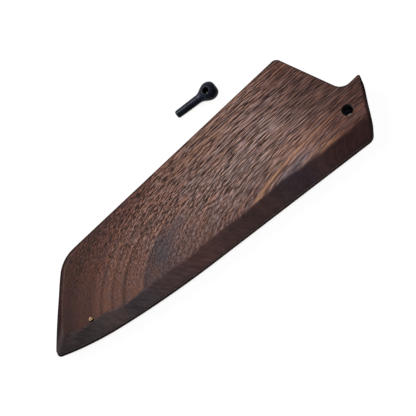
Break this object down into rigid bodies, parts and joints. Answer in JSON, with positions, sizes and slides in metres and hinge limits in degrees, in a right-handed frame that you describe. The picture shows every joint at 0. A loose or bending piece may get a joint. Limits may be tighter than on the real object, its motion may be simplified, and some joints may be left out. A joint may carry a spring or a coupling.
{
  "type": "knife blade guard",
  "caption": "Flat wooden blade guard for a kitchen knife with an angled tip: a bevelled sheath with an open blade slot and a loose ball-headed retaining pin.",
  "frame": {"origin": "where the pin hole's axis meets the plane of the back face", "axes": "+X along the spine towards the mouth, +Y towards the spine, +Z out of the front face, along the pin hole"},
  "size_m": [0.2102, 0.0851, 0.0155],
  "materials": {
    "walnut": "oiled dark walnut, satin",
    "brass": "worn, sanded flush",
    "black_wood": "black, turned and polished to a satin gloss"
  },
  "bodies": {
    "sheath": {"front_cover": "walnut", "core_spacer": "walnut", "back_cover": "walnut", "tip_pin": "brass"},
    "retaining_pin": {"retaining_pin": "black_wood"}
  },
  "joints": [
    {"name": "pin_lift", "type": "slide", "parent": "sheath", "child": "retaining_pin", "axis": [0, 0, 1], "range_m": [0, 0.04]}
  ]
}
